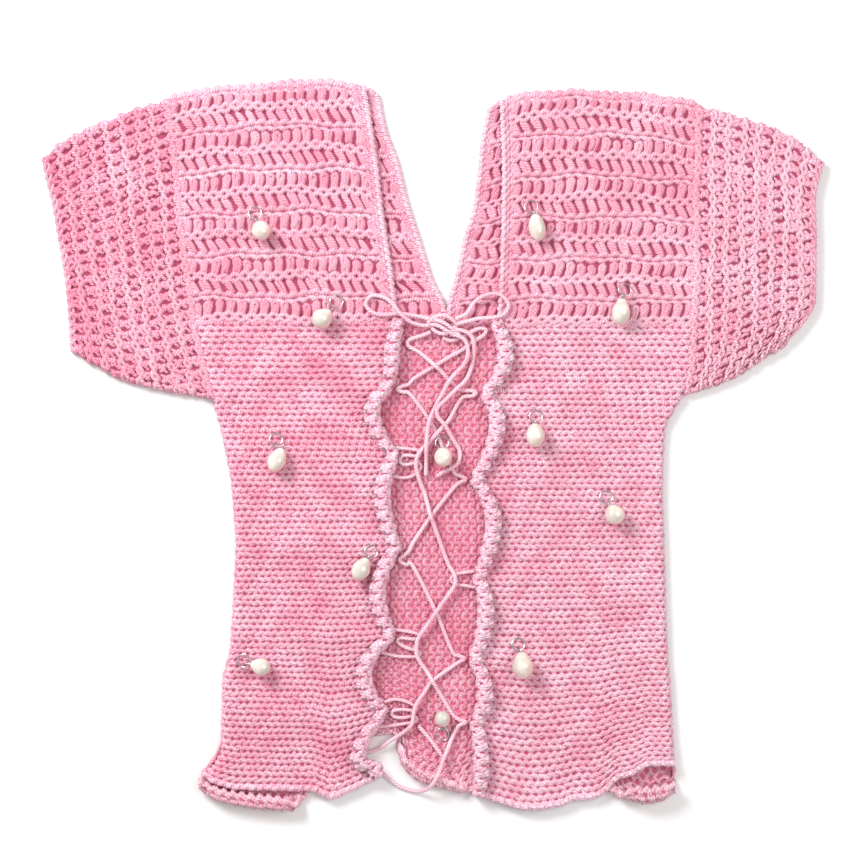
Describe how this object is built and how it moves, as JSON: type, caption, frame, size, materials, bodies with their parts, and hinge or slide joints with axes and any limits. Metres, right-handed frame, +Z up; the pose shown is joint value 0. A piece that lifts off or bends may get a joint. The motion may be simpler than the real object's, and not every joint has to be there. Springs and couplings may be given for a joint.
{
  "type": "crochet top",
  "caption": "Short-sleeved knitted and crocheted top laid flat, its curled and scalloped front edges laced together under a bow, with large pearls on jump rings.",
  "frame": {"origin": "middle of the outline's box on the surface that the garment lies on", "axes": "+X to the viewer's right, +Y towards the neck, +Z up out of the surface"},
  "size_m": [0.4836, 0.4514, 0.0194],
  "materials": {
    "knit": "matte",
    "crochet": "matte",
    "lace": "matte",
    "pearl": "gloss",
    "silver": "polished"
  },
  "bodies": {
    "root": {"back_body": "knit", "front_left": "knit", "front_right": "knit", "yoke_back_left": "crochet", "yoke_back_right": "crochet", "yoke_front_left": "crochet", "yoke_front_right": "crochet", "sleeve_left": "crochet", "sleeve_right": "crochet", "lace_half_a": "lace", "lace_half_b": "lace", "lace_link": "lace", "bow_loop_left": "lace", "bow_loop_right": "lace", "tail_inner": "lace", "tail_outer": "lace", "bow_knot": "lace", "edge_loop_1": "knit", "edge_loop_2": "knit", "edge_loop_3": "knit", "edge_loop_4": "knit", "pearl_01": "pearl", "pearl_02": "pearl", "pearl_03": "pearl", "pearl_04": "pearl", "pearl_05": "pearl", "pearl_06": "pearl", "pearl_07": "pearl", "pearl_08": "pearl", "pearl_09": "pearl", "pearl_10": "pearl", "pearl_11": "pearl", "pearl_12": "pearl", "ring_01": "silver", "ring_02": "silver", "ring_03": "silver", "ring_04": "silver", "ring_05": "silver", "ring_06": "silver", "ring_07": "silver", "ring_08": "silver", "ring_09": "silver", "ring_10": "silver", "ring_11": "silver", "ring_12": "silver"}
  },
  "joints": []
}
